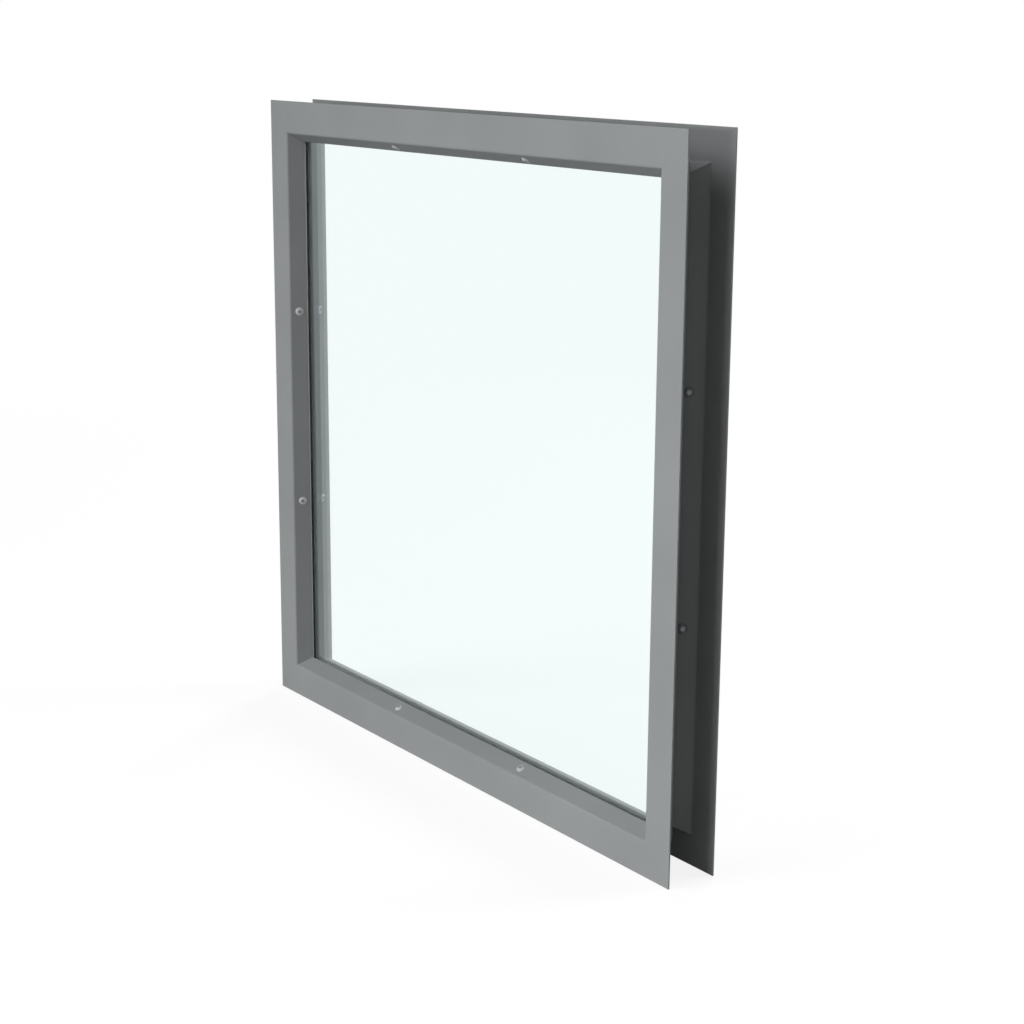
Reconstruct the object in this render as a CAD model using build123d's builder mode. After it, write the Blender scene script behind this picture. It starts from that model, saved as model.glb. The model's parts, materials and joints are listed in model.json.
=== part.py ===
from build123d import *
from math import radians, tan, cos
import os

# Door vision panel: two mitred sheet-steel frames that clamp one glass pane in the cut-out of a door.
# The front flange seats on the door's front skin, which is the plane y = 0, and +Y goes into the door.
# The origin is in the middle of the front bottom flange, on its seat, and +Z is up.

# Overall size of both frames, and the door that they clamp
OVERALL_WIDTH = 609.6
OVERALL_HEIGHT = 584.2
DOOR_THICKNESS = 44.45

# Section of the folded sheet, where the bevels of both frames end in lips that face each other
SHEET = 1.2
FRONT_FLANGE_WIDTH = 29.6
FRONT_BEVEL_INSET = 9.4
FRONT_BEVEL_DEPTH = 15.6
REAR_BEVEL_INSET = 11.6
LEG_LENGTH = 13.0
FLANGE_BEND_RADIUS = 2.6
LIP_BEND_RADIUS = 1.7
MITRE_GAP = 0.05

# Dimpled screw seats, two in the bevel of each side
RAIL_SCREW_SPACING = 194.0
STILE_SCREW_SPACING = 187.0
SCREW_HOLE_RADIUS = 2.3
SEAT_RADIUS = 4.4
SEAT_ANGLE = 82.0
SEAT_LAND = 0.8
DIMPLE_WALL = 0.9

# Glass and the tape that beds it
GLASS_THICKNESS = 6.35
GLASS_BITE = 13.6
GLASS_SEAM = 0.7
TAPE_THICKNESS = 0.8
TAPE_WIDTH = 9.5
TAPE_RECESS = 3.1

# Depths along Y that follow from those sizes
FRONT_FACE = -SHEET
REAR_FACE = DOOR_THICKNESS + SHEET
FRONT_LEG_FACE = FRONT_FACE + FRONT_BEVEL_DEPTH
GLASS_FRONT = FRONT_LEG_FACE + TAPE_THICKNESS
GLASS_REAR = GLASS_FRONT + GLASS_THICKNESS
REAR_LEG_FACE = GLASS_REAR + TAPE_THICKNESS
REAR_BEVEL_DEPTH = REAR_FACE - REAR_LEG_FACE

# Places in the plane of the door, each inset measured from the frames' outer edge
CENTRE_HEIGHT = OVERALL_HEIGHT / 2 - FRONT_FLANGE_WIDTH / 2
LIP_INSET = FRONT_FLANGE_WIDTH + FRONT_BEVEL_INSET
REAR_FLANGE_WIDTH = LIP_INSET - REAR_BEVEL_INSET
GLASS_INSET = LIP_INSET - GLASS_BITE
TAPE_INNER_INSET = LIP_INSET - TAPE_RECESS
TAPE_OUTER_INSET = TAPE_INNER_INSET - TAPE_WIDTH

# Form of a screw seat: a pressed cone with a short straight land round the hole
SEAT_SLOPE = tan(radians(SEAT_ANGLE / 2))
SEAT_DEPTH = (SEAT_RADIUS - SCREW_HOLE_RADIUS) / SEAT_SLOPE + SEAT_LAND
DIMPLE_RADIUS = SEAT_RADIUS + DIMPLE_WALL / cos(radians(SEAT_ANGLE / 2))
DIMPLE_END_RADIUS = DIMPLE_RADIUS - SEAT_DEPTH * SEAT_SLOPE

# Each side of a frame: name, way in to the glass, half the span to its outer edge, length, screw spacing
SIDES = [
    ("top_rail", Vector(0, 0, -1), OVERALL_HEIGHT / 2, OVERALL_WIDTH, RAIL_SCREW_SPACING),
    ("bottom_rail", Vector(0, 0, 1), OVERALL_HEIGHT / 2, OVERALL_WIDTH, RAIL_SCREW_SPACING),
    ("left_stile", Vector(1, 0, 0), OVERALL_WIDTH / 2, OVERALL_HEIGHT, STILE_SCREW_SPACING),
    ("right_stile", Vector(-1, 0, 0), OVERALL_WIDTH / 2, OVERALL_HEIGHT, STILE_SCREW_SPACING),
]

os.makedirs("parts", exist_ok=True)


def frame_member(inward, half_span, length, screw_spacing, face, into_door, flange_width, bevel_depth):
    """One folded side of a frame: flange, bevel with two screw seats and glazing leg, mitred at its ends."""
    outer_edge = Vector(0, face, CENTRE_HEIGHT) - inward * half_span
    along = inward.cross(into_door)
    section_plane = Plane(origin=outer_edge, x_dir=inward, z_dir=along)
    bevel_inset = LIP_INSET - flange_width
    bevel_middle = outer_edge + inward * (flange_width + bevel_inset / 2) + into_door * (bevel_depth / 2)
    bevel_normal = inward * bevel_depth - into_door * bevel_inset
    seats = [
        Plane(origin=bevel_middle + along * (end * screw_spacing / 2), x_dir=along, z_dir=bevel_normal)
        for end in (-1, 1)
    ]
    with BuildPart() as member:
        with BuildSketch(section_plane):
            with BuildLine():
                FilletPolyline(
                    (0, 0),
                    (flange_width, 0),
                    (LIP_INSET, bevel_depth),
                    (LIP_INSET - LEG_LENGTH, bevel_depth),
                    radius=[FLANGE_BEND_RADIUS, LIP_BEND_RADIUS],
                )
                offset(amount=SHEET, side=Side.LEFT)
            make_face()
        extrude(amount=length / 2, both=True)
        for end in (along, along * -1):
            corner = outer_edge + end * (length / 2 - MITRE_GAP / 2**0.5)
            split(bisect_by=Plane(origin=corner, z_dir=inward + end), keep=Keep.BOTTOM)
        with Locations(*seats):
            Cone(
                bottom_radius=DIMPLE_END_RADIUS,
                top_radius=DIMPLE_RADIUS,
                height=SEAT_DEPTH,
                align=(Align.CENTER, Align.CENTER, Align.MAX),
            )
            CounterSinkHole(
                radius=SCREW_HOLE_RADIUS,
                counter_sink_radius=SEAT_RADIUS,
                depth=2 * SEAT_DEPTH,
                counter_sink_angle=SEAT_ANGLE,
            )
    return member.part


def tape_strip(inward, half_span, length, lower_face, upper_face):
    """One strip of glazing tape, bedded between a frame's leg and the glass."""
    tape_middle = (TAPE_INNER_INSET + TAPE_OUTER_INSET) / 2
    middle = Vector(0, lower_face, CENTRE_HEIGHT) - inward * (half_span - tape_middle)
    upright = abs(inward.X) > abs(inward.Z)
    with BuildPart() as strip:
        with BuildSketch(Plane(origin=middle, x_dir=(1, 0, 0), z_dir=(0, 1, 0))):
            if upright:
                Rectangle(TAPE_WIDTH, length - 2 * TAPE_OUTER_INSET)
            else:
                Rectangle(length - 2 * TAPE_INNER_INSET, TAPE_WIDTH)
        extrude(amount=upper_face - lower_face)
    return strip.part


def save(piece, name):
    """Labels a finished piece and writes it under its own name."""
    piece.label = name
    export_step(piece, f"parts/{name}.step")


# Front and rear frames, with the tape between each frame and the glass
for name, inward, half_span, length, spacing in SIDES:
    side = (inward, half_span, length, spacing)
    front = frame_member(*side, FRONT_FACE, Vector(0, 1, 0), FRONT_FLANGE_WIDTH, FRONT_BEVEL_DEPTH)
    save(front, f"front_{name}")
    rear = frame_member(*side, REAR_FACE, Vector(0, -1, 0), REAR_FLANGE_WIDTH, REAR_BEVEL_DEPTH)
    save(rear, f"rear_{name}")
    save(tape_strip(inward, half_span, length, FRONT_LEG_FACE, GLASS_FRONT), f"front_{name}_tape")
    save(tape_strip(inward, half_span, length, GLASS_REAR, REAR_LEG_FACE), f"rear_{name}_tape")

# Glass pane, with its sharp edges seamed
with BuildPart() as glass_pane:
    glass_plane = Plane(origin=(0, GLASS_FRONT, CENTRE_HEIGHT), x_dir=(1, 0, 0), z_dir=(0, 1, 0))
    with BuildSketch(glass_plane):
        Rectangle(OVERALL_WIDTH - 2 * GLASS_INSET, OVERALL_HEIGHT - 2 * GLASS_INSET)
    extrude(amount=GLASS_THICKNESS)
    large_faces = glass_pane.faces().filter_by(Axis.Y)
    chamfer(large_faces.edges(), length=GLASS_SEAM)
save(glass_pane.part, "glass_pane")
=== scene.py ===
import json
import math

import bmesh
import bpy
from mathutils import Matrix, Vector


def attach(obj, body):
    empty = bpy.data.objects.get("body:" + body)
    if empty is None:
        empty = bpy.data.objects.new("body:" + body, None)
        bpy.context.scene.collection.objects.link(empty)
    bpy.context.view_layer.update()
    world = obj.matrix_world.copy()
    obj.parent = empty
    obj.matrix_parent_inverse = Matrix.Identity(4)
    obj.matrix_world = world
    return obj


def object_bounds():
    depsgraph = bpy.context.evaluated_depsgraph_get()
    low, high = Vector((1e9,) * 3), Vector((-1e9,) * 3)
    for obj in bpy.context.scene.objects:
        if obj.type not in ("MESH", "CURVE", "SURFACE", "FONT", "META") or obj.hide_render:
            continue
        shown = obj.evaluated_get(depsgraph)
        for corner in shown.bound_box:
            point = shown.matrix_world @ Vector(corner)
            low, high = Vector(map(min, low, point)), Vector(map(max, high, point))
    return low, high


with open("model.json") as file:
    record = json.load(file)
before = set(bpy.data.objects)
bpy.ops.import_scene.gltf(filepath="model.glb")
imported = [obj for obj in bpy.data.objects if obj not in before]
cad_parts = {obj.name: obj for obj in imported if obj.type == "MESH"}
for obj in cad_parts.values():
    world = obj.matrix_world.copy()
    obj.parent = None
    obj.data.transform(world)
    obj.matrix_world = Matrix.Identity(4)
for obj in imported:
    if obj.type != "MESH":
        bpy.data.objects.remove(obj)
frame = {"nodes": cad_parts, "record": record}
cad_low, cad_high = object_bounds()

# Door vision panel: a finish for every piece, a screw in every hole, soft studio light and the camera.
# Lengths are in metres, apart from those of a screw and its seat, which are in millimetres.
MM = 0.001
nodes = frame["nodes"]
record = frame["record"]

# Camera: where it looks, from which side and how far away, with its sensor and lens in millimetres
CAMERA_AIM = Vector((0.03025, 0.04355, 0.22754))
CAMERA_AZIMUTH = math.radians(54.267)
CAMERA_ELEVATION = math.radians(13.529)
CAMERA_ROLL = math.radians(0.411)
CAMERA_DISTANCE = 1.77054
CAMERA_SENSOR = 36.0
CAMERA_LENS = 71.41

# Colours: the two tones that each finish varies between
PAINT_DARK = (0.283, 0.296, 0.300)
PAINT_LIGHT = (0.312, 0.324, 0.328)
SPECK_DARK = (0.955, 0.955, 0.955)
SPECK_LIGHT = (1.03, 1.03, 1.03)
GLASS_EDGE = (0.42, 0.68, 0.58)
GLASS_FACE = (0.884, 0.958, 0.957)
TAPE_DARK = (0.50, 0.525, 0.518)
TAPE_LIGHT = (0.62, 0.645, 0.638)
ZINC_DARK = (0.45, 0.46, 0.49)
ZINC_LIGHT = (0.55, 0.56, 0.59)
# The darker zinc tones are painted shade for the screw's recess and shank
SHADED_ZINC_DARK = (0.34, 0.34, 0.36)
SHADED_ZINC_LIGHT = (0.44, 0.44, 0.47)

# Plating that has lost most of its shine
ZINC_METALLIC = 0.3

# Countersunk seat in a bevel: a cone that ends in a short straight land round the hole
SEAT_RADIUS = 4.4
SEAT_SLOPE = math.tan(math.radians(82.0 / 2))
HOLE_RADIUS = 2.3
LAND_LENGTH = 0.8
LAND_MIDDLE = (SEAT_RADIUS - HOLE_RADIUS) / SEAT_SLOPE + LAND_LENGTH / 2
SEAT_CLEARANCE = 0.02

# Oval-head screw, with its axis along Z and the top of its countersunk cone at Z = 0
HEAD_RADIUS = 4.1
HEAD_RIM = 0.15
HEAD_RISE = 1.5
SHANK_RADIUS = 2.1
SHANK_END = 2.8
SHANK_CHAMFER = 0.3
SCREW_SEGMENTS = 48
DOME_STEPS = 8
SHARP_ANGLE = math.radians(32)

# Cross recess, measured at the top of the dome and at its floor, and how far its cutter stands above the dome
RECESS_DEPTH = 1.5
RECESS_LENGTH = 4.0
RECESS_WIDTH = 1.0
RECESS_FLOOR_LENGTH = 1.8
RECESS_FLOOR_WIDTH = 0.75
CUTTER_RISE = 1.0

# How far below the dome a face has to lie to count as one of the recess or the shank, which get zinc darkened
# with painted shade
SHADED_DEPTH = 0.08

# Each screw is left at its own angle when it is driven home
TURN_STEP = math.radians(137.5)

# Light from all round, at the horizon and straight up
HORIZON_LEVEL = 0.39
ZENITH_LEVEL = 0.0

# Lamps: the level is how bright a white surface that faces the lamp comes out while the lamp shines all round
LAMP_DISTANCE = 4.0
LOW_LEVEL = 0.063
LOW_DIRECTION = Vector((0.035, -0.998, 0.05))
LOW_SIZE = (2.0, 0.9)
HIGH_LEVEL = 0.095
HIGH_DIRECTION = Vector((-0.14, -0.816, 0.56))
HIGH_SIZE = (4.0, 2.2)
BACK_LEVEL = 0.64
BACK_DIRECTION = Vector((0.368, 0.910, 0.191))
BACK_SIZE = (1.6, 1.2)
REAR_LEVEL = 0.50
REAR_DIRECTION = Vector((-0.522, 0.835, 0.174))
REAR_SIZE = (1.2, 1.2)

# The low and high lamps are narrowed to a beam, which makes them several times as bright in the middle of it.
# They are aimed to the right of the panel and low, so that their light fades to the left and upwards.
FRONT_BEAM = math.radians(57)
FRONT_AIM = Vector((0.75, 0.0, -0.25))

# Floor: how much light it throws back, its tone and its own glow to the eye near the panel, and where
# that gives way to plain white
FLOOR_REACH = 8.0
FLOOR_BOUNCE = 0.24
FLOOR_SEEN = 0.22
FLOOR_GLOW = 0.865
FLOOR_NEAR = 0.7
FLOOR_FAR = 2.2


def new_material(name):
    """A node material, its node tree and its Principled shader."""
    material = bpy.data.materials.new(name)
    material.use_nodes = True
    tree = material.node_tree
    shader = next(n for n in tree.nodes if n.type == "BSDF_PRINCIPLED")
    return material, tree, shader


def add_node(tree, kind, **values):
    """Adds a node and sets its inputs by name."""
    node = tree.nodes.new(kind)
    for name, value in values.items():
        node.inputs[name.replace("_", " ")].default_value = value
    return node


def object_coordinates(tree):
    """The place on the part, in the part's own frame."""
    return tree.nodes.new("ShaderNodeTexCoord").outputs["Object"]


def noise(tree, coordinates, scale, detail, roughness=0.5):
    """A noise pattern on some coordinates; returns its value output."""
    node = add_node(tree, "ShaderNodeTexNoise", Scale=scale, Detail=detail, Roughness=roughness)
    tree.links.new(coordinates, node.inputs["Vector"])
    return node.outputs["Fac"]


def ramp(tree, value, low, high, low_colour, high_colour):
    """Maps a value between two positions to two colours."""
    node = tree.nodes.new("ShaderNodeValToRGB")
    node.color_ramp.elements[0].position = low
    node.color_ramp.elements[1].position = high
    node.color_ramp.elements[0].color = (*low_colour, 1.0)
    node.color_ramp.elements[1].color = (*high_colour, 1.0)
    tree.links.new(value, node.inputs["Fac"])
    return node.outputs["Color"]


def spread(tree, value, low, high, start=0.0, end=1.0):
    """Maps a value from start..end to low..high, and holds it there beyond the ends."""
    node = add_node(tree, "ShaderNodeMapRange", From_Min=start, From_Max=end, To_Min=low, To_Max=high)
    tree.links.new(value, node.inputs["Value"])
    return node.outputs["Result"]


def combine(tree, operation, first, second=None):
    """Works out a value from one or two others, by an operation such as MULTIPLY or ABSOLUTE."""
    node = tree.nodes.new("ShaderNodeMath")
    node.operation = operation
    tree.links.new(first, node.inputs[0])
    if second is not None:
        tree.links.new(second, node.inputs[1])
    return node.outputs["Value"]


def multiply_colours(tree, first, second):
    """Multiplies two colours."""
    node = tree.nodes.new("ShaderNodeMix")
    node.data_type = "RGBA"
    node.blend_type = "MULTIPLY"
    sockets = {socket.identifier: socket for socket in (*node.inputs, *node.outputs)}
    sockets["Factor_Float"].default_value = 1.0
    tree.links.new(first, sockets["A_Color"])
    tree.links.new(second, sockets["B_Color"])
    return sockets["Result_Color"]


def bump(tree, shader, height, strength, distance):
    """Connects a height pattern to the shader's normal."""
    node = add_node(tree, "ShaderNodeBump", Strength=strength, Distance=distance)
    tree.links.new(height, node.inputs["Height"])
    tree.links.new(node.outputs["Normal"], shader.inputs["Normal"])


def painted_steel():
    """Satin grey paint: faint clouds in its colour, fine specks and the orange peel of a sprayed coat."""
    material, tree, shader = new_material("painted_steel")
    place = object_coordinates(tree)
    clouds = noise(tree, place, scale=9.0, detail=4.0)
    specks = noise(tree, place, scale=1900.0, detail=2.0)
    sheen = noise(tree, place, scale=60.0, detail=5.0, roughness=0.6)
    orange_peel = noise(tree, place, scale=520.0, detail=2.5)
    paint = ramp(tree, clouds, 0.32, 0.68, PAINT_DARK, PAINT_LIGHT)
    grain = ramp(tree, specks, 0.30, 0.72, SPECK_DARK, SPECK_LIGHT)
    tree.links.new(multiply_colours(tree, paint, grain), shader.inputs["Base Color"])
    tree.links.new(spread(tree, sheen, 0.46, 0.60), shader.inputs["Roughness"])
    shader.inputs["Specular IOR Level"].default_value = 0.12
    bump(tree, shader, orange_peel, strength=0.16, distance=0.00012)
    return material


def clear_glass():
    """Float glass: clear through its faces, green at its cut edges, with a faint film of wiping marks."""
    material, tree, shader = new_material("clear_glass")
    normal = tree.nodes.new("ShaderNodeNewGeometry").outputs["True Normal"]
    facing = tree.nodes.new("ShaderNodeSeparateXYZ")
    tree.links.new(normal, facing.inputs["Vector"])
    across = combine(tree, "ABSOLUTE", facing.outputs["Y"])
    tree.links.new(ramp(tree, across, 0.55, 0.95, GLASS_EDGE, GLASS_FACE), shader.inputs["Base Color"])
    wiping_marks = noise(tree, object_coordinates(tree), scale=14.0, detail=6.0, roughness=0.65)
    tree.links.new(spread(tree, wiping_marks, 0.0, 0.012), shader.inputs["Roughness"])
    shader.inputs["Transmission Weight"].default_value = 1.0
    shader.inputs["IOR"].default_value = 1.5
    return material


def glazing_tape():
    """Pale grey foam tape, dull, with a fine open grain."""
    material, tree, shader = new_material("glazing_tape")
    grain = noise(tree, object_coordinates(tree), scale=1400.0, detail=4.0, roughness=0.6)
    tree.links.new(ramp(tree, grain, 0.3, 0.7, TAPE_DARK, TAPE_LIGHT), shader.inputs["Base Color"])
    tree.links.new(spread(tree, grain, 0.72, 0.92), shader.inputs["Roughness"])
    bump(tree, shader, grain, strength=0.3, distance=0.0002)
    return material


def zinc_plate():
    """Zinc on the screw heads, a little cloudy, with fine marks from the driver."""
    material, tree, shader = new_material("zinc_plate")
    place = object_coordinates(tree)
    clouds = noise(tree, place, scale=420.0, detail=4.0)
    polish = noise(tree, place, scale=900.0, detail=3.0)
    marks = noise(tree, place, scale=2600.0, detail=2.0)
    tree.links.new(ramp(tree, clouds, 0.3, 0.7, ZINC_DARK, ZINC_LIGHT), shader.inputs["Base Color"])
    tree.links.new(spread(tree, polish, 0.42, 0.58), shader.inputs["Roughness"])
    shader.inputs["Metallic"].default_value = ZINC_METALLIC
    bump(tree, shader, marks, strength=0.12, distance=0.00005)
    return material


def dull_zinc():
    """Rougher zinc in the driver's recess and on the shank, its darker colour painted shade."""
    material, tree, shader = new_material("dull_zinc")
    stains = noise(tree, object_coordinates(tree), scale=700.0, detail=4.0)
    colour = ramp(tree, stains, 0.3, 0.7, SHADED_ZINC_DARK, SHADED_ZINC_LIGHT)
    tree.links.new(colour, shader.inputs["Base Color"])
    tree.links.new(spread(tree, stains, 0.55, 0.75), shader.inputs["Roughness"])
    shader.inputs["Metallic"].default_value = ZINC_METALLIC
    return material


def as_object(shape, name):
    """Turns a bmesh into a linked object."""
    mesh = bpy.data.meshes.new(name)
    shape.to_mesh(mesh)
    shape.free()
    thing = bpy.data.objects.new(name, mesh)
    bpy.context.scene.collection.objects.link(thing)
    return thing


def lathe(profile, segments):
    """A closed mesh made by turning (radius, height) points, first and last on the axis, about Z."""
    shape = bmesh.new()
    turns = [2 * math.pi * i / segments for i in range(segments)]
    rings = []
    for radius, height in profile:
        if radius == 0:
            points = [(0, 0, height)]
        else:
            points = [(radius * math.cos(turn), radius * math.sin(turn), height) for turn in turns]
        rings.append([shape.verts.new(point) for point in points])
    for low, high in zip(rings, rings[1:]):
        for i in range(segments):
            j = (i + 1) % segments
            corners = [low[i % len(low)], low[j % len(low)], high[j % len(high)], high[i % len(high)]]
            shape.faces.new(list(dict.fromkeys(corners)))
    bmesh.ops.recalc_face_normals(shape, faces=shape.faces)
    return shape


def dome_height(radius):
    """Height of the oval head's dome at a distance from its axis."""
    cap_radius = (HEAD_RADIUS**2 + HEAD_RISE**2) / (2 * HEAD_RISE)
    return HEAD_RIM + HEAD_RISE - cap_radius + math.sqrt(cap_radius**2 - radius**2)


def screw_profile():
    """Half of the screw's outline, from the middle of the shank's end up to the top of the dome."""
    cone_end = -(HEAD_RADIUS - SHANK_RADIUS) / SEAT_SLOPE
    profile = [
        (0, -SHANK_END),
        (SHANK_RADIUS - SHANK_CHAMFER, -SHANK_END),
        (SHANK_RADIUS, SHANK_CHAMFER - SHANK_END),
        (SHANK_RADIUS, cone_end),
        (HEAD_RADIUS, 0),
    ]
    for step in range(DOME_STEPS):
        radius = HEAD_RADIUS * math.cos(math.pi / 2 * step / DOME_STEPS)
        profile.append((radius, dome_height(radius)))
    profile.append((0, dome_height(0)))
    return profile


def recess_arm(turn):
    """One arm of the cross recess: a bar that narrows towards its floor."""
    dome_top = HEAD_RIM + HEAD_RISE
    floor = dome_top - RECESS_DEPTH
    rise = (RECESS_DEPTH + CUTTER_RISE) / RECESS_DEPTH
    shape = bmesh.new()
    levels = []
    for height, share in ((floor, 0.0), (dome_top + CUTTER_RISE, rise)):
        x = (RECESS_FLOOR_LENGTH + (RECESS_LENGTH - RECESS_FLOOR_LENGTH) * share) / 2
        y = (RECESS_FLOOR_WIDTH + (RECESS_WIDTH - RECESS_FLOOR_WIDTH) * share) / 2
        corners = [(-x, -y), (x, -y), (x, y), (-x, y)]
        levels.append([shape.verts.new((*corner, height)) for corner in corners])
    low, high = levels
    shape.faces.new(low[::-1])
    shape.faces.new(high)
    for i in range(4):
        j = (i + 1) % 4
        shape.faces.new((low[i], low[j], high[j], high[i]))
    bmesh.ops.rotate(shape, verts=shape.verts, cent=(0, 0, 0), matrix=Matrix.Rotation(turn, 3, "Z"))
    return shape


def cut_recess(body):
    """Cuts both arms of the cross recess into the screw's head."""
    for turn in (0.0, math.pi / 2):
        arm = as_object(recess_arm(turn), "recess_arm")
        cut = body.modifiers.new("recess", "BOOLEAN")
        cut.operation = "DIFFERENCE"
        cut.solver = "EXACT"
        cut.object = arm
        cut_body = body.evaluated_get(bpy.context.evaluated_depsgraph_get())
        cut_mesh = bpy.data.meshes.new_from_object(cut_body)
        body.modifiers.clear()
        body.data = cut_mesh
        bpy.data.objects.remove(arm)


def screw_mesh(bright, dull_shaded):
    """An oval head with a cross recess, its countersunk cone and the start of its shank, in metres."""
    body = as_object(lathe(screw_profile(), SCREW_SEGMENTS), "screw_body")
    cut_recess(body)
    mesh = body.data
    mesh.name = "oval_head_screw"
    mesh.materials.append(bright)
    mesh.materials.append(dull_shaded)
    # Faces in the recess and on the shank take the zinc darkened with painted shade
    for face in mesh.polygons:
        from_axis = math.hypot(face.center.x, face.center.y)
        below_dome = face.center.z < dome_height(from_axis) - SHADED_DEPTH
        face.material_index = 1 if below_dome and from_axis < SHANK_RADIUS else 0
    mesh.transform(Matrix.Scale(MM, 4))
    mesh.shade_smooth()
    mesh.set_sharp_from_angle(angle=SHARP_ANGLE)
    bpy.data.objects.remove(body)
    return mesh


def add_screws(bright, dull_shaded):
    """One screw in every stated screw hole, with its head down on the countersunk seat."""
    mesh = screw_mesh(bright, dull_shaded)
    sunk = (SEAT_RADIUS - HEAD_RADIUS) / SEAT_SLOPE - SEAT_CLEARANCE
    holes = [m for m in record["mounts"] if m["kind"] == "bore"]
    for count, hole in enumerate(holes):
        axis = Vector(hole["axis"]).normalized()
        screw = bpy.data.objects.new(hole["name"].replace("_hole", ""), mesh)
        bpy.context.scene.collection.objects.link(screw)
        cone_top = Vector(hole["pos_m"]) + axis * (LAND_MIDDLE - sunk) * MM
        stand = axis.to_track_quat("Z", "Y").to_matrix().to_4x4()
        turn = Matrix.Rotation(TURN_STEP * count, 4, "Z")
        screw.matrix_world = Matrix.Translation(cone_top) @ stand @ turn
        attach(screw, "root")


def dress_nodes(steel, glass, tape):
    """Gives every piece of the panel its finish, and lets light through the glass to what is behind it."""
    for name, node in nodes.items():
        if name == "glass_pane":
            finish = glass
            node.visible_shadow = False
        elif name.endswith("_tape"):
            finish = tape
        else:
            finish = steel
        node.data.materials.clear()
        node.data.materials.append(finish)


def seen_by_viewers(tree):
    """1 for rays from the camera, also by way of gloss and glass, and 0 for rays that light a surface."""
    path = tree.nodes.new("ShaderNodeLightPath")
    mirrored = combine(tree, "MAXIMUM", path.outputs["Is Glossy Ray"], path.outputs["Is Transmission Ray"])
    seen = combine(tree, "MAXIMUM", path.outputs["Is Camera Ray"], mirrored)
    before_diffuse = spread(tree, path.outputs["Diffuse Depth"], 1.0, 0.0)
    return combine(tree, "MULTIPLY", seen, before_diffuse)


def light_world():
    """White all round to the eye, with a lower light on surfaces that fades from the horizon upwards."""
    world = bpy.data.worlds.new("studio")
    bpy.context.scene.world = world
    world.use_nodes = True
    tree = world.node_tree
    background = next(n for n in tree.nodes if n.type == "BACKGROUND")
    background.inputs["Color"].default_value = (1, 1, 1, 1)
    way = tree.nodes.new("ShaderNodeSeparateXYZ")
    tree.links.new(tree.nodes.new("ShaderNodeTexCoord").outputs["Generated"], way.inputs["Vector"])
    strength = tree.nodes.new("ShaderNodeMix")
    tree.links.new(seen_by_viewers(tree), strength.inputs["Factor"])
    tree.links.new(spread(tree, way.outputs["Z"], HORIZON_LEVEL, ZENITH_LEVEL), strength.inputs["A"])
    strength.inputs["B"].default_value = 1.0
    tree.links.new(strength.outputs["Result"], background.inputs["Strength"])


def add_lamp(name, direction, level, size, beam=math.pi, aim=Vector((0, 0, 0))):
    """A soft lamp of some width and height, turned to the panel's middle or to a point beside it."""
    middle = (cad_low + cad_high) / 2
    lamp = bpy.data.lights.new(name, "AREA")
    lamp.shape = "RECTANGLE"
    lamp.size, lamp.size_y = size
    lamp.spread = beam
    lamp.energy = level * math.pi**2 * LAMP_DISTANCE**2
    thing = bpy.data.objects.new(name, lamp)
    bpy.context.scene.collection.objects.link(thing)
    thing.location = middle + direction.normalized() * LAMP_DISTANCE
    thing.rotation_euler = (middle + aim - thing.location).to_track_quat("-Z", "Y").to_euler()
    thing.visible_camera = False
    thing.visible_glossy = False
    thing.visible_transmission = False


def pale_floor():
    """White to the eye, with the panel's faint shadow near it, and a plain grey to the light."""
    material, tree, shader = new_material("pale_floor")
    distance = tree.nodes.new("ShaderNodeVectorMath")
    distance.operation = "LENGTH"
    tree.links.new(object_coordinates(tree), distance.inputs[0])
    near = spread(tree, distance.outputs["Value"], 1.0, 0.0, FLOOR_NEAR, FLOOR_FAR)
    seen = seen_by_viewers(tree)
    shade = tree.nodes.new("ShaderNodeMix")
    tree.links.new(seen, shade.inputs["Factor"])
    shade.inputs["A"].default_value = FLOOR_BOUNCE
    tree.links.new(spread(tree, near, 0.0, FLOOR_SEEN), shade.inputs["B"])
    tree.links.new(shade.outputs["Result"], shader.inputs["Base Color"])
    glow = combine(tree, "MULTIPLY", seen, spread(tree, near, 1.0, FLOOR_GLOW))
    tree.links.new(glow, shader.inputs["Emission Strength"])
    shader.inputs["Emission Color"].default_value = (1, 1, 1, 1)
    shader.inputs["Roughness"].default_value = 1.0
    shader.inputs["Specular IOR Level"].default_value = 0.0
    return material


def add_floor():
    """A wide floor that the panel stands on."""
    shape = bmesh.new()
    bmesh.ops.create_grid(shape, x_segments=1, y_segments=1, size=FLOOR_REACH)
    floor = as_object(shape, "floor")
    floor.location.z = cad_low.z
    floor.data.materials.append(pale_floor())


def add_camera():
    """The photograph's view: a long lens, seen from the right and a little above."""
    camera = bpy.data.cameras.new("camera")
    camera.sensor_width = CAMERA_SENSOR
    camera.lens = CAMERA_LENS
    thing = bpy.data.objects.new("camera", camera)
    bpy.context.scene.collection.objects.link(thing)
    level = math.cos(CAMERA_ELEVATION)
    back = Vector((
        math.sin(CAMERA_AZIMUTH) * level,
        -math.cos(CAMERA_AZIMUTH) * level,
        math.sin(CAMERA_ELEVATION),
    ))
    stand = (-back).to_track_quat("-Z", "Y").to_matrix().to_4x4()
    roll = Matrix.Rotation(CAMERA_ROLL, 4, "Z")
    thing.matrix_world = Matrix.Translation(CAMERA_AIM + back * CAMERA_DISTANCE) @ stand @ roll
    bpy.context.scene.camera = thing


bpy.context.scene.view_settings.view_transform = "Standard"
dress_nodes(painted_steel(), clear_glass(), glazing_tape())
add_screws(zinc_plate(), dull_zinc())
light_world()
add_lamp("low", LOW_DIRECTION, LOW_LEVEL, LOW_SIZE, FRONT_BEAM, FRONT_AIM)
add_lamp("high", HIGH_DIRECTION, HIGH_LEVEL, HIGH_SIZE, FRONT_BEAM, FRONT_AIM)
add_lamp("back", BACK_DIRECTION, BACK_LEVEL, BACK_SIZE)
add_lamp("rear", REAR_DIRECTION, REAR_LEVEL, REAR_SIZE)
add_floor()
add_camera()
